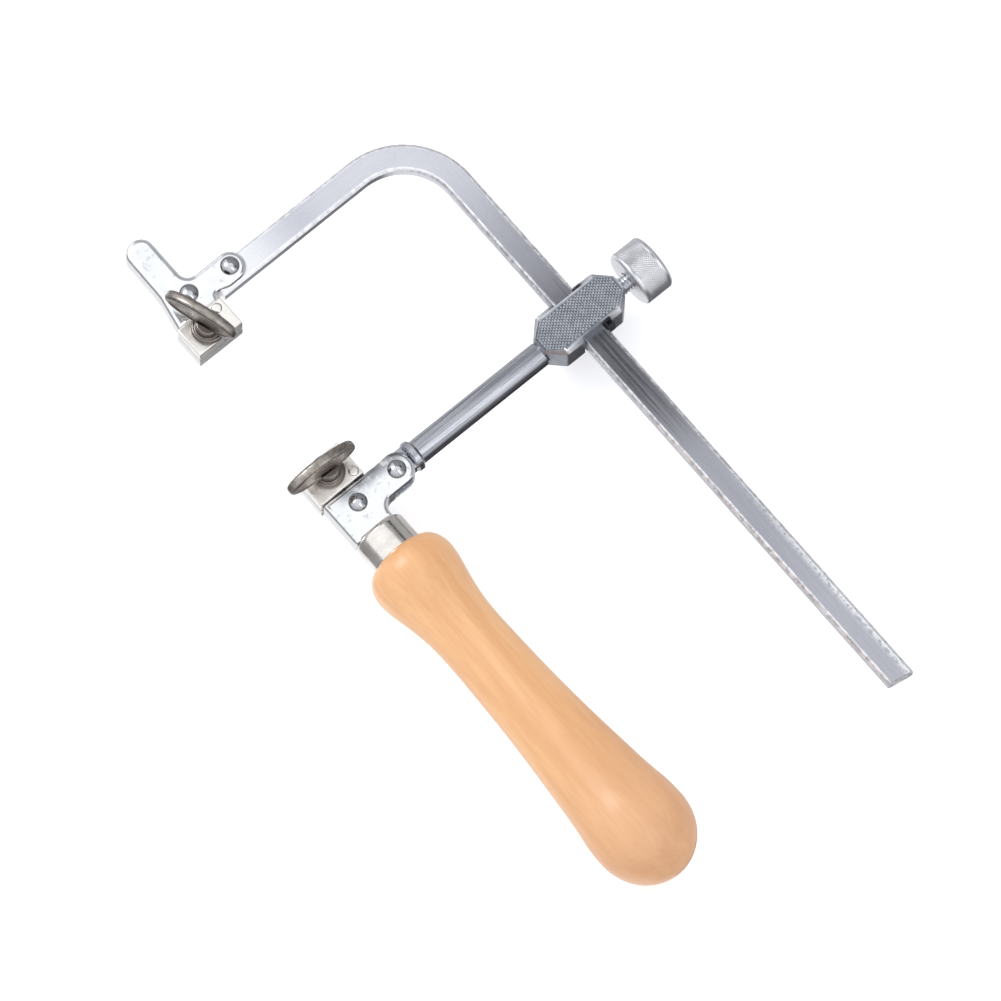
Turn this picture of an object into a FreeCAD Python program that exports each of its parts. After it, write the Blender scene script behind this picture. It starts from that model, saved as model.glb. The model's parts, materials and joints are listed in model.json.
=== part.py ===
import FreeCAD, Part
import math
import os

# Adjustable jeweler's saw frame, in millimetres.
# +X runs along the turned handle, from the blade side to its domed end.
# +Y runs across the frame, from the handle to the long straight bar.
# +Z is square to the frame, on the side that the thumb screws stand up from.
# The origin is on the handle's axis, where the ferrule meets the wood.

Vec = FreeCAD.Vector
FIT = 0.03            # gap left round a part fixed in another
RUN = 0.06            # gap left round a part that slides or turns
REACH = 60.0          # how far a cutting tool runs past what it cuts

# ---- handle and ferrule ----
HANDLE_LENGTH = 109.9
SHOULDER_X = 6.6
SHOULDER_R = 11.95
WAIST_X = 34.0
WAIST_R = 9.15
BULB_X = 95.0
BULB_R = 13.6
GRIP_CURVE = [(13.0, 11.05), (20.5, 9.6), (WAIST_X, WAIST_R), (56.0, 10.05), (73.0, 11.4), (86.0, 12.8)]
FERRULE_LENGTH = 8.3
FERRULE_R = 7.3
FERRULE_WALL = 0.8
FERRULE_RIM_R = 0.9

# ---- flat bar bent to the long arm ----
BAR_W = 7.3
BAR_T = 4.2
SPINE_Y = 75.6
ARM_X = -84.5
BEND_R = 18.4
TAIL_X = 107.6
TAIL_SKEW = 1.2
ARM_END_Y = 10.5
BAR_EDGE = 0.6

# ---- blade clamps ----
PLATE_T = 1.5
PLATE_EDGE = 0.4
PLATE_CORNER = 0.6
UPPER_JAW_LENGTH = 9.0
LOWER_JAW_LENGTH = 10.6
JAW_WIDTH = 14.0
JAW_HALF_T = 4.5
JAW_GAP = 0.4
JAW_EDGE = 0.5
UPPER_SEAM_X = -81.0
LOWER_SEAM_X = -21.6
UPPER_JAW_Y = 1.8
LOWER_JAW_Y = -0.4
RIVET_R = 1.5
DOME_R = 2.45
DOME_H = 1.35
PIN_R = 1.3
PIN_INSET = 1.9
UPPER_PIN_Y = 6.3
LOWER_PIN_Y = 4.8
PIN_PROUD = 0.3
PIN_EDGE = 0.25
LEVER_TIP_X = -107.0
TANG_LENGTH = 38.0
TANG_W = 6.0
TANG_T = 3.0

# ---- thumb screws ----
SCREW_R = 2.0
COLLAR_R = 4.5
COLLAR_H = 1.6
COLLAR_EDGE = 0.4
NECK_R = 3.2
NECK_TOP_Z = 8.6
WING_HALF_LENGTH = 10.4
WING_HALF_HEIGHT = 5.3
WING_T = 2.7
WING_EDGE = 0.5
WING_OFFSET = 2.1
WING_Z = 12.1
UPPER_SCREW = Vec(-76.4, 1.1, 0)
LOWER_SCREW = Vec(-27.4, -0.4, 0)
UPPER_WING_TURN = 198.0
LOWER_WING_TURN = 268.0

# ---- round rod and slide block ----
ROD_X = -18.0
ROD_R = 3.4
COLLAR_ROD_R = 4.3
TONGUE_W = 7.0
COLLAR_ROD_Y = (18.7, 20.8)
TONGUE_END_Y = 9.5
ROD_TENON = 5.0
TENON_STEP = 0.7
ROD_COLLAR_EDGE = 0.5
BLOCK_X = -18.5
BLOCK_W = 13.0
BLOCK_Y = (62.0, 88.8)
BLOCK_HALF_T = 5.5
BLOCK_CORNER = 4.2
BLOCK_CORNER_R = 1.2
BLOCK_CHAMFER = 1.1
SLOT_TOP_GAP = 1.5
MOUTH_RELIEF = 1.1

# ---- clamping screw, knob and shoe ----
CLAMP_R = 2.5
KNOB_R = 7.7
KNOB_Y = (91.6, 101.0)
KNOB_DOME = 0.8
KNOB_EDGE = 0.8
KNOB_BORE = 7.0
SCREW_IN_KNOB = 6.0
SHOE_GAP = 0.02       # between the shoe and the bar when the knob is screwed down
SHOE_T = 0.6
SHOE_W = 4.0
SHOE_LUG = 1.6

# ---- values worked out from the ones above ----
HALF_W = BAR_W / 2
HALF_T = BAR_T / 2
STACK_T = HALF_T + PLATE_T
BAR_TOP_Y = SPINE_Y + HALF_W
SLOT_TOP_Y = BAR_TOP_Y + SLOT_TOP_GAP
UPPER_RIVETS = [Vec(-85.9, 16.3, 0), Vec(-86.9, 3.6, 0)]
LOWER_RIVETS = [Vec(-17.0, 13.7, 0), Vec(-16.6, 0.5, 0)]
UPPER_PIN = Vec(UPPER_SEAM_X + PIN_INSET, UPPER_PIN_Y, 0)
LOWER_PIN = Vec(LOWER_SEAM_X - PIN_INSET, LOWER_PIN_Y, 0)


def block(x, y, z):
    """A box between two limits along each axis."""
    solid = Part.makeBox(x[1] - x[0], y[1] - y[0], z[1] - z[0])
    solid.translate(Vec(x[0], y[0], z[0]))
    return solid


def rod(start, direction, radius, length):
    """A round bar from a start point along a direction."""
    return Part.makeCylinder(radius, length, start, direction)


def through(place, radius):
    """A round cutting tool square to the frame, longer than any part is thick."""
    return rod(place - Vec(0, 0, REACH), Vec(0, 0, 1), radius, 2 * REACH)


def rounded_outline(corners):
    """A closed wire through corners (x, y, radius), each rounded by a tangent arc."""
    edges = []
    ends = []
    count = len(corners)
    for i in range(count):
        here = Vec(corners[i][0], corners[i][1], 0)
        before = Vec(corners[i - 1][0], corners[i - 1][1], 0) - here
        after = Vec(corners[(i + 1) % count][0], corners[(i + 1) % count][1], 0) - here
        before.normalize()
        after.normalize()
        half = before.getAngle(after) / 2
        radius = corners[i][2]
        set_back = radius / math.tan(half)
        toward = before + after
        toward.normalize()
        middle = here + toward * (radius / math.sin(half) - radius)
        ends.append((here + before * set_back, middle, here + after * set_back))
    for i in range(count):
        start, middle, stop = ends[i]
        edges.append(Part.Arc(start, middle, stop).toShape())
        following = ends[(i + 1) % count][0]
        if stop.distanceToPoint(following) > 1e-6:
            edges.append(Part.LineSegment(stop, following).toShape())
    return Part.Wire(edges)


def slab(corners, z_low, z_high):
    """A flat plate with rounded corners between two heights."""
    solid = Part.Face(rounded_outline(corners)).extrude(Vec(0, 0, z_high - z_low))
    solid.translate(Vec(0, 0, z_low))
    return solid


def soften(solid, size, wanted):
    """Chamfer the edges for which wanted(edge) is true."""
    return solid.makeChamfer(size, [edge for edge in solid.Edges if wanted(edge)])


def spread(edge, axis):
    """How far an edge reaches along X, Y or Z."""
    box = edge.BoundBox
    return {"x": box.XLength, "y": box.YLength, "z": box.ZLength}[axis]


def save(name, shape):
    """Write one node, after checking that it is sound."""
    if not shape.isValid() or shape.Volume <= 0:
        raise ValueError("bad shape: " + name)
    if len(shape.Solids) == 1:
        shape = shape.Solids[0]
    shape.exportStep("parts/" + name + ".step")
    box = shape.BoundBox
    print(f"{name:20s} X {box.XMin:7.1f} {box.XMax:7.1f}  Y {box.YMin:6.1f} {box.YMax:6.1f}  "
          f"Z {box.ZMin:6.1f} {box.ZMax:6.1f}  {shape.Volume:8.0f} mm3")


# ---------------------------------------------------------------- outlines

def upper_outline():
    """Upper clamp plate: lever tip, seam with the jaws, and the round end on the arm."""
    end = UPPER_RIVETS[0]
    end_r = 4.1
    lever_low = -2.5
    lever_high = 5.2
    lever_r = (lever_high - lever_low) / 2 - 0.1
    root_x = -91.0
    root_r = 12.0
    crook_r = 2.8
    seam_low = -4.6
    seam_high = 7.9
    shoulder_y = 9.3
    neck_y = 13.0
    neck_r = 1.5
    return [
        (LEVER_TIP_X, lever_high, lever_r),
        (LEVER_TIP_X, lever_low, lever_r),
        (root_x, lever_low - 0.2, root_r),
        (UPPER_SEAM_X, seam_low, PLATE_CORNER),
        (UPPER_SEAM_X, seam_high, PLATE_CORNER),
        (end.x + end_r - 1.1, shoulder_y, neck_r),
        (end.x + end_r, neck_y, neck_r),
        (end.x + end_r, end.y + end_r, end_r),
        (end.x - end_r, end.y + end_r, end_r),
        (end.x - end_r, lever_high, crook_r),
    ]


def lower_outline():
    """Lower clamp plate: seam with the jaws, foot on the ferrule, round end on the rod."""
    end = LOWER_RIVETS[0]
    end_left = end.x - 5.0
    end_right = end.x + 4.4
    end_top = end.y + 4.6
    end_r = 4.2
    foot_x = -FERRULE_LENGTH - FIT
    foot_low = -7.0
    foot_high = 5.3
    crook_r = 3.2
    seam_high = 8.4
    shoulder_y = 9.6
    shoulder_r = 0.9
    return [
        (LOWER_SEAM_X, foot_low, PLATE_CORNER),
        (foot_x, foot_low, PLATE_CORNER),
        (foot_x, foot_high, PLATE_CORNER),
        (end_right, foot_high, crook_r),
        (end_right, end_top, end_r),
        (end_left, end_top, end_r),
        (end_left + 0.5, shoulder_y, shoulder_r),
        (LOWER_SEAM_X, seam_high, PLATE_CORNER),
    ]


# ---------------------------------------------------------------- handle side

def quarter_ellipse(centre, half_x, half_y, side):
    """Quarter of an ellipse above its centre, on the +X or the -X side."""
    ellipse = Part.Ellipse(centre, half_x, half_y)
    start = 0 if side > 0 else math.pi / 2
    return Part.ArcOfEllipse(ellipse, start, start + math.pi / 2).toShape()


def make_handle():
    """Turned wooden grip with a nose for the ferrule and a slot for the tang."""
    nose_r = FERRULE_R - FERRULE_WALL - FIT
    nose_x = -FERRULE_LENGTH + FERRULE_WALL + FIT
    grip = Part.BSplineCurve()
    level = Vec(1, 0, 0)
    points = [Vec(x, r, 0) for x, r in [(SHOULDER_X, SHOULDER_R)] + GRIP_CURVE + [(BULB_X, BULB_R)]]
    grip.interpolate(Points=points, InitialTangent=level, FinalTangent=level)
    edges = [
        Part.LineSegment(Vec(nose_x, 0, 0), Vec(nose_x, nose_r, 0)).toShape(),
        Part.LineSegment(Vec(nose_x, nose_r, 0), Vec(0, nose_r, 0)).toShape(),
        Part.LineSegment(Vec(0, nose_r, 0), Vec(0, FERRULE_R, 0)).toShape(),
        quarter_ellipse(Vec(SHOULDER_X, FERRULE_R, 0), SHOULDER_X, SHOULDER_R - FERRULE_R, -1),
        grip.toShape(),
        quarter_ellipse(Vec(BULB_X, 0, 0), HANDLE_LENGTH - BULB_X, BULB_R, 1),
        Part.LineSegment(Vec(HANDLE_LENGTH, 0, 0), Vec(nose_x, 0, 0)).toShape(),
    ]
    wood = Part.Face(Part.Wire(edges)).revolve(Vec(0, 0, 0), Vec(1, 0, 0), 360)
    half_w = TANG_W / 2 + FIT
    half_t = TANG_T / 2 + FIT
    slot = block((nose_x - 1, TANG_LENGTH + 1), (-half_w, half_w), (-half_t, half_t))
    return wood.cut(slot)


def make_ferrule():
    """Drawn metal cap over the handle's nose, slotted for the tang."""
    start = Vec(-FERRULE_LENGTH, 0, 0)
    along = Vec(1, 0, 0)
    cap = rod(start, along, FERRULE_R, FERRULE_LENGTH - FIT)
    rim = [e for e in cap.Edges if abs(e.BoundBox.XMax + FERRULE_LENGTH) < 0.01 and e.Length > 1]
    cap = cap.makeFillet(FERRULE_RIM_R, rim)
    inside = rod(start + along * FERRULE_WALL, along, FERRULE_R - FERRULE_WALL, FERRULE_LENGTH)
    half_w = TANG_W / 2 + FIT
    half_t = TANG_T / 2 + FIT
    slot = block((-FERRULE_LENGTH - 1, 0), (-half_w, half_w), (-half_t, half_t))
    return cap.cut(inside).cut(slot)


def make_lower_core():
    """Steel core between the lower plates, with the fixed jaw and the handle tang."""
    core = slab(lower_outline(), -HALF_T, HALF_T)
    foot_x = -FERRULE_LENGTH - FIT
    pocket = block((-REACH, 0), (TONGUE_END_Y - FIT, REACH), (-REACH, REACH))
    tang = block((foot_x - 3, TANG_LENGTH), (-TANG_W / 2, TANG_W / 2), (-TANG_T / 2, TANG_T / 2))
    core = core.cut(pocket).fuse(tang)
    jaw = fixed_jaw(LOWER_SEAM_X - LOWER_JAW_LENGTH, LOWER_SEAM_X, LOWER_JAW_Y)
    core = core.fuse(jaw).removeSplitter()
    core = core.cut(through(LOWER_SCREW, SCREW_R + RUN)).cut(through(LOWER_PIN, PIN_R + FIT))
    return drill_rivets(core, LOWER_RIVETS)


def make_cross_rod():
    """Round rod from the lower clamp to the slide block, flattened below its collar."""
    foot = Vec(ROD_X, COLLAR_ROD_Y[0], 0)
    up = Vec(0, 1, 0)
    top_y = BLOCK_Y[0] + ROD_TENON
    collar = rod(foot, up, COLLAR_ROD_R, COLLAR_ROD_Y[1] - COLLAR_ROD_Y[0])
    collar = soften(collar, ROD_COLLAR_EDGE, lambda e: abs(e.BoundBox.YMin - COLLAR_ROD_Y[1]) < 0.01)
    shaft = rod(foot, up, ROD_R, BLOCK_Y[0] - foot.y)
    tenon = rod(foot, up, ROD_R - TENON_STEP, top_y - foot.y)
    tongue_x = (ROD_X - TONGUE_W / 2, ROD_X + TONGUE_W / 2)
    tongue = block(tongue_x, (TONGUE_END_Y, foot.y + 1), (-HALF_T, HALF_T))
    body = collar.fuse(shaft).fuse(tenon).fuse(tongue).removeSplitter()
    return drill_rivets(body, LOWER_RIVETS[:1])


def make_slide_block():
    """Block on the rod's end that the bar slides through."""
    left = BLOCK_X - BLOCK_W / 2
    right = BLOCK_X + BLOCK_W / 2
    low, high = BLOCK_Y
    cut = BLOCK_CORNER
    corners = [
        (left, low + cut), (left + cut, low), (right - cut, low), (right, low + cut),
        (right, high - cut), (right - cut, high), (left + cut, high), (left, high - cut),
    ]
    body = slab([(x, y, BLOCK_CORNER_R) for x, y in corners], -BLOCK_HALF_T, BLOCK_HALF_T)
    body = soften(body, BLOCK_CHAMFER, lambda e: spread(e, "z") < 0.01)
    slot_y = (SPINE_Y - HALF_W - RUN, SLOT_TOP_Y)
    slot_z = HALF_T + RUN
    body = body.cut(block((left - 1, right + 1), slot_y, (-slot_z, slot_z)))
    for x in ((left - 1, left + MOUTH_RELIEF), (right - MOUTH_RELIEF, right + 1)):
        body = body.cut(block(x, slot_y, (-REACH, REACH)))
    up = Vec(0, 1, 0)
    body = body.cut(rod(Vec(ROD_X, low - 1, 0), up, ROD_R - TENON_STEP + FIT, ROD_TENON + 1 + FIT))
    return body.cut(rod(Vec(BLOCK_X, SPINE_Y, 0), up, CLAMP_R + RUN, REACH))


# ---------------------------------------------------------------- bar side

def make_frame_bar():
    """Flat bar: long straight back, one wide bend, and the arm down to the upper clamp."""
    left = ARM_X - HALF_W
    outer = BEND_R + HALF_W
    inner = BEND_R - HALF_W
    centre = Vec(ARM_X + BEND_R, SPINE_Y - BEND_R, 0)
    slant = Vec(-math.sqrt(0.5), math.sqrt(0.5), 0)
    back_top = SPINE_Y + HALF_W
    back_low = SPINE_Y - HALF_W
    right = ARM_X + HALF_W
    edges = [
        Part.LineSegment(Vec(right, ARM_END_Y, 0), Vec(right, centre.y, 0)).toShape(),
        Part.Arc(Vec(right, centre.y, 0), centre + slant * inner, Vec(centre.x, back_low, 0)).toShape(),
        Part.LineSegment(Vec(centre.x, back_low, 0), Vec(TAIL_X - TAIL_SKEW, back_low, 0)).toShape(),
        Part.LineSegment(Vec(TAIL_X - TAIL_SKEW, back_low, 0), Vec(TAIL_X, back_top, 0)).toShape(),
        Part.LineSegment(Vec(TAIL_X, back_top, 0), Vec(centre.x, back_top, 0)).toShape(),
        Part.Arc(Vec(centre.x, back_top, 0), centre + slant * outer, Vec(left, centre.y, 0)).toShape(),
        Part.LineSegment(Vec(left, centre.y, 0), Vec(left, ARM_END_Y, 0)).toShape(),
        Part.LineSegment(Vec(left, ARM_END_Y, 0), Vec(right, ARM_END_Y, 0)).toShape(),
    ]
    body = Part.Face(Part.Wire(edges)).extrude(Vec(0, 0, BAR_T))
    body.translate(Vec(0, 0, -HALF_T))
    body = soften(body, BAR_EDGE, lambda e: spread(e, "z") < 0.01)
    return drill_rivets(body, UPPER_RIVETS[:1])


def make_upper_core():
    """Steel core between the upper plates: lever, and the fixed jaw."""
    core = slab(upper_outline(), -HALF_T, HALF_T)
    core = core.cut(block((LEVER_TIP_X, 0), (ARM_END_Y - FIT, REACH), (-REACH, REACH)))
    jaw = fixed_jaw(UPPER_SEAM_X, UPPER_SEAM_X + UPPER_JAW_LENGTH, UPPER_JAW_Y)
    core = core.fuse(jaw).removeSplitter()
    core = core.cut(through(UPPER_SCREW, SCREW_R + RUN)).cut(through(UPPER_PIN, PIN_R + FIT))
    return drill_rivets(core, UPPER_RIVETS[1:])


# ---------------------------------------------------------------- clamp pieces

def drill_rivets(solid, places):
    """Bore the rivet holes at the given places."""
    for place in places:
        solid = solid.cut(through(place, RIVET_R + FIT))
    return solid


def make_plate(outline, places, side):
    """One clamp side plate, on the +Z or the -Z side of the core."""
    low = HALF_T if side > 0 else -STACK_T
    plate = slab(outline, low, low + PLATE_T)
    outer_z = side * STACK_T
    plate = soften(plate, PLATE_EDGE,
                   lambda e: spread(e, "z") < 0.01 and abs(e.BoundBox.ZMin - outer_z) < 0.01)
    return drill_rivets(plate, places)


def make_rivets(places):
    """Rivets through a clamp, each with a low dome on both faces."""
    solids = []
    ball_r = (DOME_R ** 2 + DOME_H ** 2) / (2 * DOME_H)
    for place in places:
        shank = rod(place - Vec(0, 0, STACK_T), Vec(0, 0, 1), RIVET_R, 2 * STACK_T)
        for side in (1, -1):
            ball = Part.makeSphere(ball_r, place + Vec(0, 0, side * (STACK_T + DOME_H - ball_r)))
            foot = place + Vec(0, 0, side * STACK_T)
            keep = rod(foot, Vec(0, 0, side), DOME_R + 1, DOME_H + 1)
            shank = shank.fuse(ball.common(keep))
        solids.append(shank.removeSplitter())
    return Part.makeCompound(solids)


def fixed_jaw(x_low, x_high, y):
    """The jaw half that belongs to a clamp core, below the blade plane."""
    half = JAW_WIDTH / 2
    jaw = block((x_low, x_high), (y - half, y + half), (-JAW_HALF_T, -JAW_GAP / 2))
    return soften(jaw, JAW_EDGE, lambda e: abs(e.BoundBox.ZMax + JAW_HALF_T) < 0.01)


def make_moving_jaw(x_low, x_high, y, screw, pin):
    """The jaw half that the thumb screw presses down, guided by the pin."""
    half = JAW_WIDTH / 2
    jaw = block((x_low + RUN, x_high - RUN), (y - half, y + half), (JAW_GAP / 2, JAW_HALF_T))
    jaw = soften(jaw, JAW_EDGE, lambda e: abs(e.BoundBox.ZMin - JAW_HALF_T) < 0.01)
    return jaw.cut(through(screw, SCREW_R + RUN)).cut(through(pin, PIN_R + RUN))


def make_guide_pin(place):
    """Pin fixed in the core, with its rounded end standing just out of the moving jaw."""
    pin = rod(place - Vec(0, 0, JAW_HALF_T), Vec(0, 0, 1), PIN_R, 2 * JAW_HALF_T + PIN_PROUD)
    return soften(pin, PIN_EDGE, lambda e: spread(e, "z") < 0.01 and e.BoundBox.ZMin > 0)


def wing_solid(screw, turn, grow=0.0):
    """Upright oval plate, turned about its screw and set a little to one side of it."""
    half_t = WING_T / 2 + grow
    oval = Part.Ellipse(Vec(0, 0, 0), WING_HALF_LENGTH + grow, WING_HALF_HEIGHT + grow)
    wing = Part.Face(Part.Wire(oval.toShape())).extrude(Vec(0, 0, 2 * half_t))
    wing.translate(Vec(0, 0, -half_t))
    wing.rotate(Vec(0, 0, 0), Vec(1, 0, 0), 90)
    wing.translate(Vec(WING_OFFSET, 0, WING_Z))
    wing.rotate(Vec(0, 0, 0), Vec(0, 0, 1), turn)
    wing.translate(screw)
    return wing


def make_thumb_wing(screw, turn):
    """Thumb wing with softened rims."""
    return soften(wing_solid(screw, turn), WING_EDGE, lambda e: e.Length > 2 * WING_HALF_LENGTH)


def make_thumb_screw(screw, turn):
    """Screw through both jaws, with a collar on the jaw and a slotted neck for the wing."""
    up = Vec(0, 0, 1)
    shank = rod(screw - Vec(0, 0, JAW_HALF_T), up, SCREW_R, 2 * JAW_HALF_T)
    collar = rod(screw + Vec(0, 0, JAW_HALF_T), up, COLLAR_R, COLLAR_H)
    collar = soften(collar, COLLAR_EDGE, lambda e: spread(e, "z") < 0.01)
    neck = rod(screw + Vec(0, 0, JAW_HALF_T), up, NECK_R, NECK_TOP_Z - JAW_HALF_T)
    return shank.fuse(collar).fuse(neck).removeSplitter().cut(wing_solid(screw, turn, FIT))


# ---------------------------------------------------------------- clamping screw

def make_shoe():
    """Leaf between the clamping screw and the bar, hooked over both mouths of the slot."""
    low = BAR_TOP_Y + SHOE_GAP
    reach = BLOCK_W / 2 + RUN
    half = SHOE_W / 2
    leaf = block((BLOCK_X - reach - SHOE_T, BLOCK_X + reach + SHOE_T), (low, low + SHOE_T), (-half, half))
    for x in (BLOCK_X - reach - SHOE_T, BLOCK_X + reach):
        leaf = leaf.fuse(block((x, x + SHOE_T), (low, low + SHOE_T + SHOE_LUG), (-half, half)))
    return leaf.removeSplitter()


def make_clamp_screw():
    """Screw from the shoe, through the block's end, into the knob."""
    tip_y = BAR_TOP_Y + SHOE_GAP + SHOE_T
    return rod(Vec(BLOCK_X, tip_y, 0), Vec(0, 1, 0), CLAMP_R, KNOB_Y[0] + SCREW_IN_KNOB - tip_y)


def make_clamp_knob():
    """Round knob with a domed end, bored for its screw."""
    foot = Vec(BLOCK_X, KNOB_Y[0], 0)
    up = Vec(0, 1, 0)
    side_top = KNOB_Y[1] - KNOB_DOME
    body = rod(foot, up, KNOB_R, side_top - foot.y)
    dome_r = (KNOB_R ** 2 + KNOB_DOME ** 2) / (2 * KNOB_DOME)
    dome = Part.makeSphere(dome_r, Vec(BLOCK_X, KNOB_Y[1] - dome_r, 0))
    body = body.fuse(dome.common(rod(Vec(BLOCK_X, side_top, 0), up, KNOB_R, KNOB_DOME + 1)))
    body = body.removeSplitter()
    body = soften(body, KNOB_EDGE, lambda e: e.Length > 2 * KNOB_R and spread(e, "y") < 0.01)
    return body.cut(rod(foot - up, up, CLAMP_R + FIT, KNOB_BORE + 1))


def main():
    os.makedirs("parts", exist_ok=True)
    save("handle", make_handle())
    save("ferrule", make_ferrule())
    save("lower_clamp_core", make_lower_core())
    save("lower_front_plate", make_plate(lower_outline(), LOWER_RIVETS, 1))
    save("lower_back_plate", make_plate(lower_outline(), LOWER_RIVETS, -1))
    save("lower_rivets", make_rivets(LOWER_RIVETS))
    save("lower_guide_pin", make_guide_pin(LOWER_PIN))
    save("lower_moving_jaw", make_moving_jaw(LOWER_SEAM_X - LOWER_JAW_LENGTH, LOWER_SEAM_X, LOWER_JAW_Y,
                                             LOWER_SCREW, LOWER_PIN))
    save("lower_thumb_screw", make_thumb_screw(LOWER_SCREW, LOWER_WING_TURN))
    save("lower_thumb_wing", make_thumb_wing(LOWER_SCREW, LOWER_WING_TURN))
    save("cross_rod", make_cross_rod())
    save("slide_block", make_slide_block())
    save("frame_bar", make_frame_bar())
    save("upper_clamp_core", make_upper_core())
    save("upper_front_plate", make_plate(upper_outline(), UPPER_RIVETS, 1))
    save("upper_back_plate", make_plate(upper_outline(), UPPER_RIVETS, -1))
    save("upper_rivets", make_rivets(UPPER_RIVETS))
    save("upper_guide_pin", make_guide_pin(UPPER_PIN))
    save("upper_moving_jaw", make_moving_jaw(UPPER_SEAM_X, UPPER_SEAM_X + UPPER_JAW_LENGTH, UPPER_JAW_Y,
                                             UPPER_SCREW, UPPER_PIN))
    save("upper_thumb_screw", make_thumb_screw(UPPER_SCREW, UPPER_WING_TURN))
    save("upper_thumb_wing", make_thumb_wing(UPPER_SCREW, UPPER_WING_TURN))
    save("pressure_shoe", make_shoe())
    save("clamp_screw", make_clamp_screw())
    save("clamp_knob", make_clamp_knob())


main()
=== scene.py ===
import json
import math

import bmesh
import bpy
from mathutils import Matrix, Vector, geometry, noise


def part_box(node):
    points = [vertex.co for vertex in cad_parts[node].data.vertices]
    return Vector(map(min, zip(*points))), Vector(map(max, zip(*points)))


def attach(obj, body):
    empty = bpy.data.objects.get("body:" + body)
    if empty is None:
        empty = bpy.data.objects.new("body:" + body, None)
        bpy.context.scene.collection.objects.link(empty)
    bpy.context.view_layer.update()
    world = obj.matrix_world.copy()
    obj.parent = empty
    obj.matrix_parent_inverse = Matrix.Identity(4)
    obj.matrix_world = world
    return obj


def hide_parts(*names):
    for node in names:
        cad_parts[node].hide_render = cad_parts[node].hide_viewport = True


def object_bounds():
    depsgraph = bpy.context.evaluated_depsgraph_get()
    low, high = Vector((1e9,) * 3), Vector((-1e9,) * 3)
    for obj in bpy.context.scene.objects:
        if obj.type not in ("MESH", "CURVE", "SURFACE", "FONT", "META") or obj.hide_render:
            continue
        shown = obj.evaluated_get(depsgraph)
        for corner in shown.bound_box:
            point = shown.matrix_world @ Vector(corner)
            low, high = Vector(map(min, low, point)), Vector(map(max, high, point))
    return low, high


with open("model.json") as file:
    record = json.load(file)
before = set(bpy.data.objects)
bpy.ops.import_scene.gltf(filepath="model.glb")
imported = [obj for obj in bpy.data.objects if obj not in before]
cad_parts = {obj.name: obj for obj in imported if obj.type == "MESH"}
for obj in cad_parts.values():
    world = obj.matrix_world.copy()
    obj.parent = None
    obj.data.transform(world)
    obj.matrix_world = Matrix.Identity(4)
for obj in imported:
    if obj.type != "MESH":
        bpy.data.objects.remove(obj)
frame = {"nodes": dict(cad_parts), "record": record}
cad_low, cad_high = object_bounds()

# Lengths are in millimetres. A mesh is scaled to the frame's metres when its piece is made.
MM = 0.001
TINY = 1e-4
FLAT = 1e-3             # the most that two points of one flat face differ in height
PAST = 1.0              # how far a cutting tool sticks out of what it cuts
ROUND = 2.0             # the power that makes a rod's section a circle
BAR_WIDTH = 7.3
RECORD = frame["record"]
BODY_OF = {node: body for body, nodes in RECORD["behaviour"]["bodies"].items() for node in nodes}


def corners_of(node):
    """Lowest and highest corner of a CAD node, in millimetres."""
    low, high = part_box(node)
    return low / MM, high / MM


def middle_of(node):
    """Centre of a CAD node's box, in millimetres."""
    low, high = corners_of(node)
    return (low + high) / 2


# ---- plane curves

def full_turn(sides):
    """Evenly spaced angles for the vertices of a ring."""
    return [2 * math.pi * k / sides for k in range(sides)]


def round_corners(corners, closed=True, step=9.0):
    """Points along a line through corners (x, y, radius), with an arc at each corner."""
    points = []
    count = len(corners)
    for i, (x, y, radius) in enumerate(corners):
        here = Vector((x, y))
        at_end = not closed and i in (0, count - 1)
        if radius <= 0 or at_end:
            points.append(here)
            continue
        before = (Vector(corners[i - 1][:2]) - here).normalized()
        after = (Vector(corners[(i + 1) % count][:2]) - here).normalized()
        half = before.angle(after) / 2
        centre = here + (before + after).normalized() * (radius / math.sin(half))
        start = here + before * (radius / math.tan(half)) - centre
        stop = here + after * (radius / math.tan(half)) - centre
        turn = start.angle_signed(stop)
        pieces = max(2, math.ceil(math.degrees(abs(turn)) / step))
        for k in range(pieces + 1):
            angle = -turn * k / pieces
            cosine, sine = math.cos(angle), math.sin(angle)
            points.append(centre + Vector((start.x * cosine - start.y * sine,
                                           start.x * sine + start.y * cosine)))
    return points


def rounded_profile(corners, step=9.0):
    """(along, across) pairs of an open line through corners (along, across, radius)."""
    return [tuple(point) for point in round_corners(corners, closed=False, step=step)]


def inset(loop, amount):
    """A closed anticlockwise loop moved inwards, with corners too tight for it brought to a point."""
    sharpest = 0.4
    moved = []
    count = len(loop)
    for i, here in enumerate(loop):
        before = (here - loop[i - 1]).normalized()
        after = (loop[(i + 1) % count] - here).normalized()
        inward = Vector((-before.y - after.y, before.x + after.x)).normalized()
        spread = max(sharpest, inward.dot(Vector((-before.y, before.x))))
        moved.append(here + inward * (amount / spread))
    turned_back = [(moved[(i + 1) % count] - moved[i]).dot(loop[(i + 1) % count] - loop[i]) < 0
                   for i in range(count)]
    for start in range(count):
        if not turned_back[start] or turned_back[start - 1]:
            continue
        stop = start
        while turned_back[stop % count]:
            stop += 1
        run = [i % count for i in range(start, stop + 1)]
        meet = crossing(moved[start - 1], moved[start], moved[stop % count], moved[(stop + 1) % count])
        for i in run:
            moved[i] = meet
    return moved


def crossing(a, b, c, d):
    """Where the line through a and b meets the line through c and d."""
    first, second = b - a, d - c
    share = (c - a).cross(second) / first.cross(second)
    return a + first * share


def signed_area(loop):
    """Area inside a loop, positive when it runs anticlockwise."""
    return sum(a.x * b.y - b.x * a.y for a, b in zip(loop, loop[1:] + loop[:1])) / 2


def thinned(loop, gap=0.02):
    """The loop without points that nearly repeat the one before."""
    return [p for i, p in enumerate(loop) if (p - loop[i - 1]).length > gap]


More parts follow.
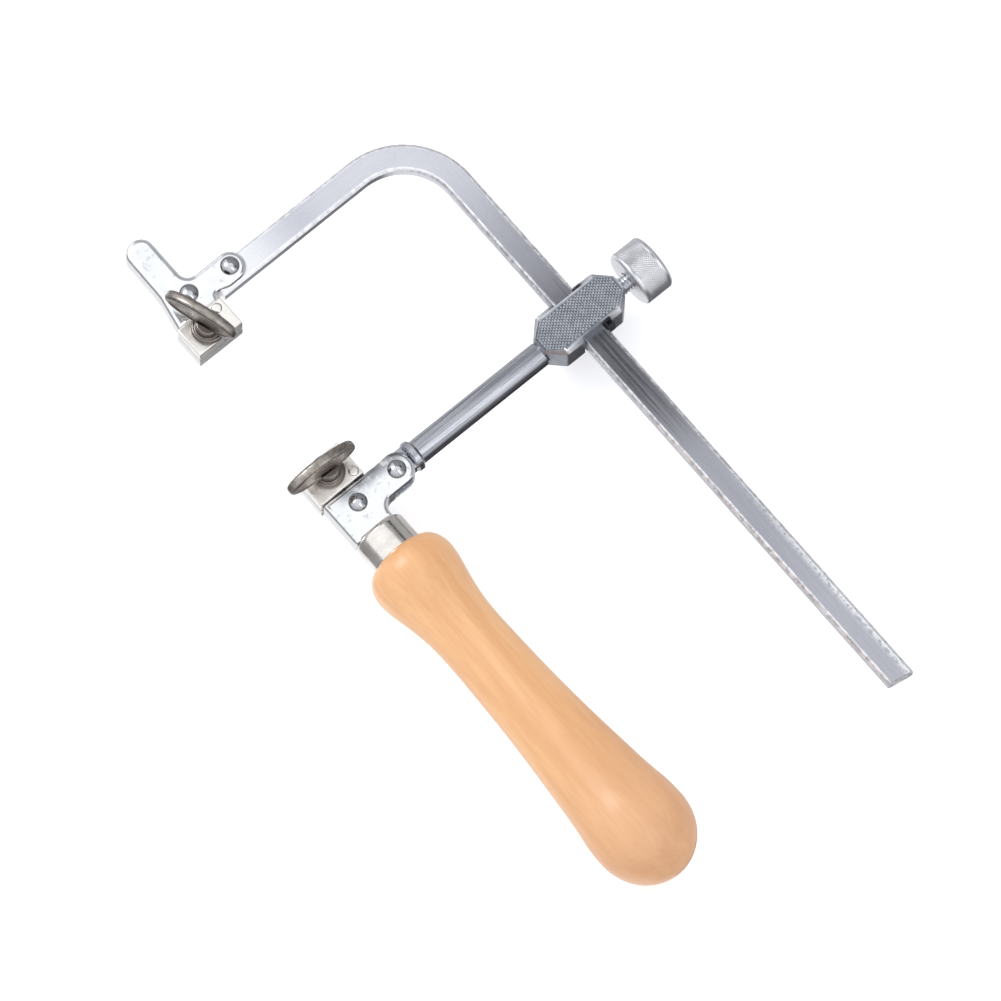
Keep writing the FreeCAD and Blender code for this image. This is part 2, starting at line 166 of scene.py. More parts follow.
def flat_loops(node, height):
    """Outlines of a CAD node's flat face at a height, the largest first, all anticlockwise."""
    mesh = frame["nodes"][node].data
    uses = {}
    for face in mesh.polygons:
        ends = [mesh.vertices[v].co / MM for v in face.vertices]
        if any(abs(p.z - height) > FLAT for p in ends):
            continue
        keys = [(round(p.x, 3), round(p.y, 3)) for p in ends]
        for a, b in zip(keys, keys[1:] + keys[:1]):
            if a != b:
                uses.setdefault(frozenset((a, b)), []).append((a, b))
    following = {found[0][0]: found[0][1] for found in uses.values() if len(found) == 1}
    loops = []
    while following:
        start = next(iter(following))
        loop = [Vector(start)]
        here = following.pop(start)
        while here != start:
            loop.append(Vector(here))
            here = following.pop(here)
        if signed_area(loop) < 0:
            loop.reverse()
        loops.append(thinned(loop))
    return sorted(loops, key=signed_area, reverse=True)


# ---- solid shapes

class Shape:
    """Vertices and faces in millimetres, with a value for each vertex that marks wear, and on rivets the
    rim that gets painted shade.
    """

    def __init__(self):
        self.points = []
        self.faces = []
        self.wear_and_shade = []

    def ring(self, points, wear_and_shade=0.0):
        """Add a row of vertices and return their numbers."""
        first = len(self.points)
        self.points += [Vector(p) for p in points]
        self.wear_and_shade += [wear_and_shade] * len(points)
        return list(range(first, len(self.points)))

    def bridge(self, a, b):
        """Faces between two closed rows. A row of one vertex is a pole."""
        count = max(len(a), len(b))
        for i in range(count):
            j = (i + 1) % count
            corners = [a[i % len(a)], a[j % len(a)], b[j % len(b)], b[i % len(b)]]
            self.faces.append(list(dict.fromkeys(corners)))

    def close(self, row):
        """One flat face across a row."""
        if len(row) > 2:
            self.faces.append(list(row))

    def loft(self, rows, capped=True):
        """Faces along a run of closed rows, and across its two ends."""
        for a, b in zip(rows, rows[1:]):
            self.bridge(a, b)
        if capped:
            self.close(rows[0])
            self.close(rows[-1])

    def fill(self, rows, extra=(), creases=()):
        """Triangles between an outer row and the hole rows inside it, through extra vertices."""
        numbers = [n for row in rows for n in row] + list(extra)
        place = {n: i for i, n in enumerate(numbers)}
        flat = [self.points[n].to_2d() for n in numbers]
        edges = [(place[a], place[b]) for row in rows for a, b in zip(row, row[1:] + row[:1])]
        edges += [(place[a], place[b]) for a, b in creases]
        found = geometry.delaunay_2d_cdt(flat, edges, [], 0, 1e-6)
        outlines = [[self.points[n].to_2d() for n in row] for row in rows]
        for triangle in found[2]:
            origin = [found[3][v][0] for v in triangle]
            centre = (flat[origin[0]] + flat[origin[1]] + flat[origin[2]]) / 3
            if inside(centre, outlines[0]) and not any(inside(centre, o) for o in outlines[1:]):
                self.faces.append([numbers[v] for v in origin])


def inside(point, loop):
    """Whether a point is within a closed loop."""
    found = False
    for a, b in zip(loop, loop[1:] + loop[:1]):
        if (a.y > point.y) != (b.y > point.y):
            if point.x < a.x + (point.y - a.y) * (b.x - a.x) / (b.y - a.y):
                found = not found
    return found


def along_axis(origin, axis):
    """A function from (along, across, up) to frame millimetres, for a part turned about an axis."""
    axis = Vector(axis).normalized()
    side = axis.orthogonal().normalized()
    up = axis.cross(side)
    origin = Vector(origin)
    return lambda a, u, v: origin + axis * a + side * u + up * v


def turned(shape, profile, sides, place, cut=None, capped=True):
    """Add a body of revolution. profile is (along, radius) from one end to the other."""
    rows = []
    for along, radius in profile:
        if radius < TINY:
            rows.append(shape.ring([place(along, 0, 0)]))
            continue
        row = []
        for angle in full_turn(sides):
            r = cut(along, radius, angle) if cut else radius
            row.append(place(along, r * math.cos(angle), r * math.sin(angle)))
        rows.append(shape.ring(row))
    shape.loft(rows, capped)
    return rows


def subdivided(profile, step):
    """The profile with points added so that no stretch is longer than step."""
    fine = [profile[0]]
    for a, b in zip(profile, profile[1:]):
        length = math.dist(a, b)
        pieces = max(1, math.ceil(length / step))
        fine += [(a[0] + (b[0] - a[0]) * k / pieces, a[1] + (b[1] - a[1]) * k / pieces)
                 for k in range(1, pieces + 1)]
    return fine


def edge_rounding(radius, pieces=5):
    """(inset, drop) pairs from a side wall over a rounded edge to the flat face."""
    steps = [math.pi / 2 * k / pieces for k in range(pieces + 1)]
    return [(radius * (1 - math.cos(a)), radius * (1 - math.sin(a))) for a in steps]


def plate(shape, loops, low, high, low_round, high_round, hole_round=0.12):
    """Add a flat plate with rounded edges. loops are its outline and its holes."""
    land = 0.04
    tops, bottoms = [], []
    for index, loop in enumerate(loops):
        grow = 1 if index == 0 else -1
        sizes = (low_round, high_round) if index == 0 else (hole_round, hole_round)
        rows = []
        for distance, drop in reversed(edge_rounding(sizes[0])):
            rows.append([(p.x, p.y, low + drop) for p in inset(loop, distance * grow)])
        for distance, drop in edge_rounding(sizes[1]):
            rows.append([(p.x, p.y, high - drop) for p in inset(loop, distance * grow)])
        first = [(p.x, p.y, low) for p in inset(loop, (sizes[0] + land) * grow)]
        last = [(p.x, p.y, high) for p in inset(loop, (sizes[1] + land) * grow)]
        numbers = [shape.ring(row) for row in [first] + rows + [last]]
        shape.loft(numbers, capped=False)
        bottoms.append(numbers[0])
        tops.append(numbers[-1])
    shape.fill(bottoms)
    shape.fill(tops)


# ---- pieces

def scene_object(name, shape):
    """A Blender mesh object of a shape, closed and with its faces turned outwards."""
    mesh = bpy.data.meshes.new(name)
    mesh.from_pydata([p * MM for p in shape.points], [], shape.faces)
    wear_and_shade = mesh.attributes.new("wear_and_shade", "FLOAT", "POINT")
    wear_and_shade.data.foreach_set("value", shape.wear_and_shade)
    made = bmesh.new()
    made.from_mesh(mesh)
    bmesh.ops.remove_doubles(made, verts=made.verts, dist=TINY * MM)
    bmesh.ops.recalc_face_normals(made, faces=made.faces)
    made.to_mesh(mesh)
    made.free()
    item = bpy.data.objects.new(name, mesh)
    bpy.context.scene.collection.objects.link(item)
    return item


def carve(item, tools):
    """Cut tool objects out of an item, and remove the tools."""
    for tool in tools:
        change = item.modifiers.new("carve", "BOOLEAN")
        change.operation = "DIFFERENCE"
        change.solver = "EXACT"
        change.object = tool
    bpy.context.view_layer.update()
    carved = item.evaluated_get(bpy.context.evaluated_depsgraph_get())
    finished = bpy.data.meshes.new_from_object(carved)
    item.modifiers.clear()
    item.data = finished
    for tool in tools:
        bpy.data.objects.remove(tool)


def rectangle(x, y, z):
    """Four corners, level at a height, between two limits along X and Y."""
    return [(x[0], y[0], z), (x[1], y[0], z), (x[1], y[1], z), (x[0], y[1], z)]


def level_sheet(name, x, y, z):
    """A flat sheet at a height, between two limits along X and Y."""
    shape = Shape()
    shape.close(shape.ring(rectangle(x, y, z)))
    return scene_object(name, shape)


def tool_box(x, y, z):
    """A box between two limits along each axis, to carve with."""
    shape = Shape()
    shape.loft([shape.ring(rectangle(x, y, height)) for height in z])
    return scene_object("tool", shape)


def tool_rod(start, radius, length):
    """A round bar along Y, to carve with."""
    sides = 64
    shape = Shape()
    turned(shape, [(0, radius), (length, radius)], sides, along_axis(start, (0, 1, 0)))
    return scene_object("tool", shape)


def shade(item, sharp=32.0):
    """Smooth shading, broken at edges sharper than an angle, with flat faces kept flat."""
    mesh = item.data
    mesh.polygons.foreach_set("use_smooth", [True] * len(mesh.polygons))
    mesh.set_sharp_from_angle(angle=math.radians(sharp))
    weighted = item.modifiers.new("weighted", "WEIGHTED_NORMAL")
    weighted.keep_sharp = True
    weighted.weight = 100


def stand_for(node, shape, finish, sharp=32.0, tools=()):
    """Make a piece of a shape, cut tools out of it, and let it stand for its CAD node."""
    item = scene_object(node + "_detail", shape)
    if tools:
        carve(item, tools)
    shade(item, sharp)
    item.data.materials.clear()
    item.data.materials.append(finish)
    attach(item, BODY_OF[node])
    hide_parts(node)


def dress(node, finish, edge=0.14):
    """Give a CAD node its material and slightly rounded edges."""
    merged = 0.002
    sharp = 35.0
    item = frame["nodes"][node]
    item.data.materials.clear()
    item.data.materials.append(finish)
    weld = item.modifiers.new("weld", "WELD")
    weld.merge_threshold = merged * MM
    bevel = item.modifiers.new("bevel", "BEVEL")
    bevel.width = edge * MM
    bevel.segments = 3
    bevel.limit_method = "ANGLE"
    bevel.angle_limit = math.radians(sharp)
    bevel.harden_normals = True


# ---- materials

class Nodes:
    """The nodes of a material or of the world, whose owner has one shader that they feed."""

    def __init__(self, owner, shader):
        owner.use_nodes = True
        self.tree = owner.node_tree
        self.shader = self.tree.nodes[shader]

    def feed(self, socket, value):
        """Link an output to a socket, or set the socket's value."""
        if isinstance(value, bpy.types.NodeSocket):
            self.tree.links.new(value, socket)
        elif socket.type == "RGBA":
            socket.default_value = (*value, 1.0)
        else:
            socket.default_value = value

    def set(self, name, value):
        """Set one input of the shader."""
        self.feed(self.shader.inputs[name], value)

    def node(self, kind, inputs, **settings):
        """Add a node with its settings and inputs."""
        made = self.tree.nodes.new("ShaderNode" + kind)
        for name, value in settings.items():
            setattr(made, name, value)
        for name, value in inputs.items():
            self.feed(made.inputs[name], value)
        return made


class Finish(Nodes):
    """One material, with short calls for the patterns that the finishes share."""

    def __init__(self, name, metallic, roughness):
        self.material = bpy.data.materials.new(name)
        super().__init__(self.material, "Principled BSDF")
        self.normal = None
        self.set("Metallic", metallic)
        self.set("Roughness", roughness)

    def place(self, stretch=(1, 1, 1)):
        """Object coordinates in millimetres, divided along each axis by a stretch."""
        coordinates = self.node("TexCoord", {}).outputs["Object"]
        scale = tuple(1 / (MM * s) for s in stretch)
        return self.node("Mapping", {"Vector": coordinates, "Scale": scale}).outputs["Vector"]

    def grain(self, size, stretch=(1, 1, 1), detail=4.0, roughness=0.55, distortion=0.0):
        """Noise from 0 to 1 with features of a size, longer along the stretched axes."""
        made = self.node("TexNoise", {"Vector": self.place(stretch), "Scale": 1 / size, "Detail": detail,
                                      "Roughness": roughness, "Distortion": distortion})
        return made.outputs["Fac"]

    def specks(self, size, stretch=(1, 1, 1)):
        """Distance from scattered points, for pores and pits."""
        made = self.node("TexVoronoi", {"Vector": self.place(stretch), "Scale": 1 / size})
        return made.outputs["Distance"]

    def axis(self, name, low, high):
        """0 to 1 along X, Y or Z between two places."""
        parts = self.node("SeparateXYZ", {"Vector": self.place()})
        return self.rise(parts.outputs[name], low, high)

    def rise(self, value, low, high, bottom=0.0, top=1.0):
        """A value moved smoothly from the range low to high to the range bottom to top."""
        made = self.node("MapRange", {"Value": value, "From Min": low, "From Max": high,
                                      "To Min": bottom, "To Max": top}, interpolation_type="SMOOTHSTEP")
        return made.outputs["Result"]

    def sum(self, a, b, operation="ADD"):
        """Two values added, or combined by another operation."""
        made = self.node("Math", {}, operation=operation)
        self.feed(made.inputs[0], a)
        self.feed(made.inputs[1], b)
        return made.outputs["Value"]

    def mix(self, factor, a, b):
        """A colour between a and b."""
        made = self.node("Mix", {}, data_type="RGBA")
        self.feed(made.inputs[0], factor)
        self.feed(made.inputs[6], a)
        self.feed(made.inputs[7], b)
        return made.outputs[2]

    def product(self, a, b):
        """Two values multiplied."""
        return self.sum(a, b, "MULTIPLY")

    def wear_and_shade(self):
        """The value stored on the mesh: wear on most pieces, and painted shade at the rivets' rims."""
        return self.node("Attribute", {}, attribute_name="wear_and_shade").outputs["Fac"]

    def bump(self, height, depth, strength=1.0):
        """Raise or sink the surface by a height pattern, on top of earlier ones."""
        made = self.node("Bump", {"Height": height, "Distance": depth * MM, "Strength": strength})
        if self.normal:
            self.feed(made.inputs["Normal"], self.normal)
        self.normal = made.outputs["Normal"]
        self.set("Normal", self.normal)


def scratched(finish, along, depth=0.004):
    """Fine lines along one direction, given as the stretch of each axis."""
    finish.bump(finish.grain(0.12, along, detail=3.0), depth)


def bar_finish():
    """Satin plate with a cool cast, drawn lengthwise, worn on its edges, with a painted reflection that
    lightens the arm and turns it almost white near the clamp.
    """
    finish = Finish("bar_satin", 1.0, 0.3)
    lengthwise = finish.grain(0.55, (45, 1, 1), detail=3.0)
    up_the_arm = finish.grain(0.55, (1, 45, 1), detail=3.0)
    arm = finish.axis("X", -70, -84)
    off_arm = finish.sum(1.0, arm, "SUBTRACT")
    streaks = finish.sum(finish.product(lengthwise, off_arm), finish.product(up_the_arm, arm))
    clouds = finish.grain(34, (2.0, 0.7, 1), detail=1.5)
    tone = finish.sum(finish.rise(clouds, 0.3, 0.7, 0.0, 0.75), finish.rise(streaks, 0.3, 0.7, 0.0, 0.25))
    # Painted reflection: a darker shade on the straight back and a lighter one on the arm, changing
    # between X -40 and -78.
    straight = finish.mix(tone, (0.36, 0.365, 0.41), (0.47, 0.475, 0.52))
    bright = finish.mix(tone, (0.57, 0.58, 0.64), (0.70, 0.71, 0.76))
    colour = finish.mix(finish.axis("X", -40, -78), straight, bright)
    # Painted reflection: the arm's colour goes almost white near the clamp.
    painted_clamp_sheen = finish.product(arm, finish.axis("Y", 40, 16))
    colour = finish.mix(painted_clamp_sheen, colour, (0.90, 0.91, 0.94))
    tail_edge = finish.product(finish.axis("Y", 76.4, 78.6), finish.axis("X", 25, 85))
    tail_edge = finish.product(tail_edge, finish.axis("Z", 0.6, 1.6))
    rubbed = finish.product(tail_edge, finish.rise(finish.grain(1.1, detail=4.0), 0.40, 0.52))
    colour = finish.mix(rubbed, colour, (0.88, 0.89, 0.92))
    patchy = finish.rise(finish.grain(1.4, detail=3.0), 0.4, 0.6, 0.35, 1.0)
    edge = finish.product(finish.wear_and_shade(), patchy)
    finish.set("Base Color", finish.mix(edge, colour, (0.97, 0.97, 1.0)))
    finish.set("Roughness", finish.rise(streaks, 0.3, 0.7, 0.25, 0.34))
    finish.bump(streaks, 0.002, 0.6)
    return finish.material


def plate_finish():
    """Bright zinc on stamped plate, with small dull patches and painted shade beside the lower jaw."""
    finish = Finish("bright_plate", 1.0, 0.2)
    dull = finish.rise(finish.grain(2.2, detail=5.0, roughness=0.6), 0.58, 0.72)
    clouds = finish.rise(finish.grain(6.0, detail=3.0), 0.35, 0.65)
    base = finish.mix(clouds, (0.90, 0.92, 0.95), (0.97, 0.98, 1.0))
    colour = finish.mix(dull, base, (0.66, 0.70, 0.71))
    # Painted shade: the plate's colour darkens beside the lower jaw and screw, in patches.
    near_jaw = finish.product(finish.axis("X", -16.5, -20.5), finish.axis("X", -60, -40))
    patchy = finish.rise(finish.grain(3.5, detail=4.0), 0.3, 0.55, 0.35, 1.0)
    painted_jaw_shade = finish.product(finish.product(near_jaw, patchy), finish.axis("Y", -6, 1))
    finish.set("Base Color", finish.mix(painted_jaw_shade, colour, (0.30, 0.31, 0.33)))
    finish.set("Roughness", finish.rise(clouds, 0, 1, 0.16, 0.26))
    finish.bump(finish.grain(2.2, detail=2.0), 0.01, 0.5)
    scratched(finish, (9, 1, 1), 0.002)
    return finish.material


def core_finish():
    """Plated steel core, seen on edge."""
    finish = Finish("core_steel", 1.0, 0.32)
    streaks = finish.grain(0.7, (1, 1, 6), detail=4.0)
    finish.set("Base Color", finish.mix(streaks, (0.78, 0.77, 0.76), (0.92, 0.91, 0.90)))
    finish.bump(streaks, 0.02)
    return finish.material


def rivet_finish():
    """Polished rivet heads, with painted shade towards the rim that stands for a dark reflection."""
    finish = Finish("rivet_polish", 1.0, 0.14)
    spots = finish.rise(finish.grain(0.8, detail=4.0), 0.5, 0.75)
    metal = finish.mix(spots, (0.66, 0.67, 0.71), (0.46, 0.47, 0.51))
    # Painted shade: the colour darkens towards each head's rim, standing for a dark reflection.
    finish.set("Base Color", finish.mix(finish.wear_and_shade(), metal, (0.16, 0.16, 0.17)))
    finish.set("Roughness", finish.rise(spots, 0, 1, 0.12, 0.26))
    return finish.material


def tarnished(finish, size, bright, dull, smooth, rough):
    """Tarnish in patches with fine marks from handling. Returns the colour of the metal."""
    tarnish = finish.rise(finish.grain(size, detail=5.0, roughness=0.6, distortion=0.4), 0.32, 0.68)
    finish.set("Roughness", finish.rise(tarnish, 0, 1, smooth, rough))
    scratched(finish, (5, 2, 1), 0.003)
    finish.bump(finish.grain(1.1, detail=3.0), 0.014, 0.7)
    return finish.mix(tarnish, bright, dull)


def jaw_finish():
    """Warm nickel plate on the jaws and guide pins."""
    finish = Finish("jaw_nickel", 1.0, 0.3)
    finish.set("Base Color", tarnished(finish, 3.2, (0.97, 0.95, 0.92), (0.88, 0.84, 0.78), 0.25, 0.40))
    return finish.material


def thumb_finish():
    """Brown tarnished nickel, rubbed bright along the rims."""
    finish = Finish("thumb_nickel", 1.0, 0.3)
    body = tarnished(finish, 2.6, (0.25, 0.222, 0.205), (0.175, 0.152, 0.135), 0.24, 0.38)
    patchy = finish.rise(finish.grain(1.2, detail=4.0), 0.35, 0.6, 0.3, 1.0)
    rubbed = finish.product(finish.wear_and_shade(), patchy)
    finish.set("Base Color", finish.mix(rubbed, body, (0.38, 0.35, 0.32)))
    return finish.material


def rod_finish():
    """Polished round steel with long draw lines."""
    finish = Finish("rod_polish", 1.0, 0.24)
    lines = finish.grain(0.5, (1, 60, 1), detail=5.0, roughness=0.65)
    streaks = finish.rise(lines, 0.35, 0.62)
    finish.set("Base Color", finish.mix(streaks, (0.30, 0.31, 0.35), (0.52, 0.53, 0.57)))
    finish.set("Roughness", finish.rise(lines, 0.3, 0.7, 0.2, 0.32))
    finish.bump(lines, 0.02, 0.8)
    return finish.material


def block_finish():
    """Slate grey steel, brighter on the tips of the knurl and on worn chamfers."""
    finish = Finish("block_slate", 1.0, 0.36)
    dust = finish.rise(finish.grain(1.5, detail=5.0), 0.35, 0.7)
    base = finish.mix(dust, (0.23, 0.245, 0.28), (0.34, 0.36, 0.40))
    finish.set("Base Color", finish.mix(finish.wear_and_shade(), base, (0.86, 0.87, 0.90)))
    finish.set("Roughness", finish.rise(finish.wear_and_shade(), 0, 1, 0.42, 0.24))
    finish.bump(finish.grain(0.35, detail=3.0), 0.02, 0.6)
    return finish.material


def knob_finish():
    """Light satin steel with a fine grain."""
    finish = Finish("knob_satin", 1.0, 0.34)
    clouds = finish.grain(2.5, detail=5.0)
    finish.set("Base Color", finish.mix(clouds, (0.58, 0.59, 0.62), (0.88, 0.89, 0.92)))
    finish.set("Roughness", finish.rise(clouds, 0.3, 0.7, 0.28, 0.42))
    finish.bump(finish.grain(0.25, detail=3.0), 0.012, 0.7)
    return finish.material


def shoe_finish():
    """Dark spring steel."""
    finish = Finish("spring_steel", 1.0, 0.45)
    finish.set("Base Color", finish.mix(finish.grain(0.8), (0.05, 0.05, 0.055), (0.16, 0.16, 0.17)))
    scratched(finish, (8, 1, 1))
    return finish.material


def ferrule_finish():
    """Drawn nickel cap with faint rings round it."""
    finish = Finish("ferrule_nickel", 1.0, 0.18)
    rings = finish.grain(0.35, (1, 40, 40), detail=4.0)
    tarnish = finish.rise(finish.grain(4.0, detail=4.0), 0.35, 0.7)
    finish.set("Base Color", finish.mix(tarnish, (0.92, 0.89, 0.85), (0.78, 0.73, 0.68)))
    finish.set("Roughness", finish.rise(rings, 0.3, 0.7, 0.13, 0.24))
    finish.bump(rings, 0.008, 0.7)
    finish.bump(finish.grain(2.4, detail=2.0), 0.05, 0.4)
    return finish.material


def wood_finish():
    """Light hardwood under satin lacquer: long soft figure, growth lines, short pores, and a colour that
    grows darker and pinker towards the thick end."""
    finish = Finish("beech_lacquer", 0.0, 0.36)
    figure = finish.grain(6.5, (8, 1, 1), detail=5.0, roughness=0.5, distortion=0.3)
    lines = finish.grain(0.9, (16, 1, 1), detail=4.0, distortion=0.3)
    ray = finish.specks(1.3, (2.2, 0.35, 0.35))
    warm = finish.mix(finish.rise(figure, 0.3, 0.7), (0.70, 0.36, 0.16), (0.81, 0.465, 0.23))
    lined = finish.mix(finish.rise(lines, 0.42, 0.72, 0.0, 0.22), warm, (0.54, 0.26, 0.115))
    flecked = finish.mix(finish.rise(ray, 0.0, 0.16, 0.28, 0.0), lined, (0.46, 0.22, 0.105))
    thick_end_tint = finish.product(finish.axis("X", 58, 100), 0.4)
    finish.set("Base Color", finish.mix(thick_end_tint, flecked, (0.60, 0.315, 0.18)))
    finish.set("Coat Weight", 0.35)
    finish.set("Coat Roughness", 0.28)
    finish.set("Roughness", finish.rise(figure, 0.3, 0.7, 0.44, 0.34))
    finish.bump(finish.rise(ray, 0.0, 0.2), 0.02, 0.5)
    finish.bump(lines, 0.012, 0.5)
    return finish.material


# ---- handle side

def outer_profile(node, step):
    """(x, radius) along the outside of a CAD node that is turned about the X axis."""
    mesh = frame["nodes"][node].data
    facing_out = 0.01
    found = {}
    for face in mesh.polygons:
        outwards = Vector((0, face.center.y, face.center.z)).normalized()
        if face.normal.dot(outwards) < facing_out:
            continue
        for number in face.vertices:
            p = mesh.vertices[number].co / MM
            found.setdefault(round(p.x, 2), []).append(math.hypot(p.y, p.z))
    profile = []
    for x in sorted(found):
        narrow, wide = min(found[x]), max(found[x])
        if wide - narrow > step:
            profile += [(x, narrow), (x, wide)]
        elif not profile or x - profile[-1][0] >= step:
            profile.append((x, wide))
    return profile


def make_handle(finish):
    """Turned grip. Its surface has the shallow ripple that sanding leaves."""
    sides = 160
    ripple, ripple_length, ripples_round, full_ripple_r = 0.05, 14.0, 2.0, 8.0
    closest, longest = 0.05, 0.8
    low, high = corners_of("handle")
    profile = subdivided(outer_profile("handle", closest), longest)
    profile = [(low.x, 0.0)] + profile + [(high.x, 0.0)]

    def sanded(along, radius, angle):
        spot = Vector((along / ripple_length, ripples_round * math.cos(angle),
                       ripples_round * math.sin(angle)))
        return radius - ripple * (0.5 + 0.5 * noise.noise(spot)) * min(1.0, radius / full_ripple_r)

    shape = Shape()
    turned(shape, profile, sides, along_axis((0, 0, 0), (1, 0, 0)), sanded)
    stand_for("handle", shape, finish)


def make_ferrule(finish):
    """Drawn cap with a soft rim, a lip where it meets the wood, and a slot for the tang."""
    sides = 128
    wall, rim_round, lip_round = 0.8, 1.2, 0.3
    slot_half_w, slot_half_t = 3.03, 1.53
    low, high = corners_of("ferrule")
    radius = high.y
    profile = rounded_profile([(low.x, 0, 0), (low.x, radius, rim_round), (high.x, radius, lip_round),
                               (high.x, radius - wall, 0.1), (low.x + wall, radius - wall, 0.4),
                               (low.x + wall, 0, 0)], step=12)
    shape = Shape()
    turned(shape, profile, sides, along_axis((0, 0, 0), (1, 0, 0)))
    slot = tool_box((low.x - PAST, low.x + 2 * wall), (-slot_half_w, slot_half_w),
                    (-slot_half_t, slot_half_t))
    stand_for("ferrule", shape, finish, tools=[slot])


def make_plates(finish):
    """The four clamp side plates, stamped with well rounded outer edges."""
    face_round = 1.3
    back_round = 0.15
    for node in ("lower_front_plate", "lower_back_plate", "upper_front_plate", "upper_back_plate"):
        low, high = corners_of(node)
        in_front = high.z > 0
        inner = low.z if in_front else high.z
        rounds = (back_round, face_round) if in_front else (face_round, back_round)
        shape = Shape()
        plate(shape, flat_loops(node, inner), low.z, high.z, *rounds)
        stand_for(node, shape, finish)


def make_rivets(finish):
    """Domed rivets, each with a short straight rim under its head."""
    sides, arc_pieces = 96, 20
    rim, chamfer = 0.25, 0.08
    shank_r, head_r = 1.5, 2.45
    for node in ("lower_rivets", "upper_rivets"):
        low, high = corners_of(node)
        stack = corners_of(node.replace("rivets", "front_plate"))[1].z
        dome = high.z - stack - rim
        ball = (head_r ** 2 + dome ** 2) / (2 * dome)
        reach = math.asin(head_r / ball)
        steps = [reach * k / arc_pieces for k in range(arc_pieces + 1)]
        arc = [(high.z - ball + ball * math.cos(a), ball * math.sin(a)) for a in steps]
        half = arc + [(stack + 0.05, head_r), (stack, head_r - chamfer), (stack, shank_r), (0, shank_r)]
        profile = half + [(-a, r) for a, r in reversed(half[:-1])]
        places = rivet_places(node)
        shape = Shape()
        for place in places:
            turned(shape, profile, sides, along_axis(place, (0, 0, 1)))
        # The stored value rises towards each head's rim, where the rivet finish paints shade.
        for number, point in enumerate(shape.points):
            away = min(math.dist(point.to_2d(), place[:2]) for place in places)
            shape.wear_and_shade[number] = (away / head_r) ** 3
        stand_for(node, shape, finish, sharp=40)


def rivet_places(node):
    """Centres of the rivets, from the holes in the plate that they hold."""
    holder = node.replace("rivets", "front_plate")
    holes = flat_loops(holder, corners_of(holder)[0].z)[1:]
    centres = [sum(hole, Vector((0, 0))) / len(hole) for hole in holes]
    return [(centre.x, centre.y, 0) for centre in centres]


def make_guide_pins(finish):
    """Pins with a domed end that keep the moving jaws square."""
    sides = 40
    foot_round, top_round = 0.15, 0.45
    for node in ("lower_guide_pin", "upper_guide_pin"):
        low, high = corners_of(node)
        centre = middle_of(node)
        radius = (high.x - low.x) / 2
        profile = rounded_profile([(low.z, 0, 0), (low.z, radius, foot_round),
                                   (high.z, radius, top_round), (high.z, 0, 0)])
        shape = Shape()
        turned(shape, profile, sides, along_axis((centre.x, centre.y, 0), (0, 0, 1)))
        stand_for(node, shape, finish)


def make_moving_jaws(finish):
    """Jaw halves with softened edges, bored for the screw and the guide pin."""
    gap_round, top_round, bore_round = 0.15, 0.3, 0.03
    for node in ("lower_moving_jaw", "upper_moving_jaw"):
        low, high = corners_of(node)
        shape = Shape()
        plate(shape, flat_loops(node, low.z), low.z, high.z, gap_round, top_round, bore_round)
        stand_for(node, shape, finish)


def thread(pitch, depth, start, stop):
    """A cut for a turned part: a V thread between two places along its axis."""
    def cut(along, radius, angle):
        if not start < along < stop:
            return radius
        turn = (along / pitch - angle / (2 * math.pi)) % 1.0
        return radius - depth * abs(2 * turn - 1)
    return cut


def make_thumb_screws(finish):
    """Threaded shank, rounded collar, and a neck slotted for the wing."""
    sides = 64
    pitch, depth, lead_in, run_out = 0.7, 0.4, 0.2, 0.1
    shank_r, neck_r = 2.0, 3.2
    collar_h = 1.6
    slack = 0.03
    for side in ("lower", "upper"):
        node = side + "_thumb_screw"
        low, high = corners_of(node)
        jaw_top = corners_of(side + "_moving_jaw")[1].z
        centre = middle_of(node)
        collar_r = (high.x - low.x) / 2
        collar_top = jaw_top + collar_h
        shank = subdivided([(low.z + lead_in, shank_r), (jaw_top, shank_r)], pitch / 8)
        head = rounded_profile([(jaw_top, shank_r, 0), (jaw_top, collar_r, 0.5),
                                (collar_top, collar_r, 0.7), (collar_top, neck_r, 0.4),
                                (high.z, neck_r, 0.6), (high.z, 0, 0)])
        profile = [(low.z, 0), (low.z, shank_r - lead_in)] + shank + head[1:]
        shape = Shape()
        turned(shape, profile, sides, along_axis((centre.x, centre.y, 0), (0, 0, 1)),
               thread(pitch, depth, low.z + lead_in + run_out, jaw_top - run_out))
        wing = wing_frame(side)
        cutter = Shape()
        reach = wing["half_t"] + slack
        oval_body(cutter, wing, [(-reach, -slack), (reach, -slack)])
        stand_for(node, shape, finish, tools=[scene_object("tool", cutter)])


def wing_frame(side):
    """Centre, directions and half sizes of a thumb wing, from its CAD mesh."""
    node = side + "_thumb_wing"
    low, high = corners_of(node)
    middle = (low + high) / 2
    mesh = frame["nodes"][node].data
    across = max(mesh.polygons, key=lambda face: face.area).normal.copy()
    up = Vector((0, 0, 1))
    along = across.cross(up).normalized()
    reach = [vertex.co / MM - middle for vertex in mesh.vertices]
    return {"middle": middle, "across": across, "along": along, "up": up,
            "half_t": max(abs(r.dot(across)) for r in reach),
            "half_length": max(abs(r.dot(along)) for r in reach),
            "half_height": max(abs(r.dot(up)) for r in reach)}


def oval_body(shape, wing, outline, wear_and_shade=None):
    """Add an oval solid on a wing's frame. outline is (across, inset from the oval's edge)."""
    sides = 120
    rows = []
    for number, (across, depth) in enumerate(outline):
        row = []
        for angle in full_turn(sides):
            row.append(wing["middle"] + wing["across"] * across
                       + wing["along"] * ((wing["half_length"] - depth) * math.cos(angle))
                       + wing["up"] * ((wing["half_height"] - depth) * math.sin(angle)))
        rows.append(shape.ring(row, wear_and_shade[number] if wear_and_shade else 0.0))
    shape.loft(rows)


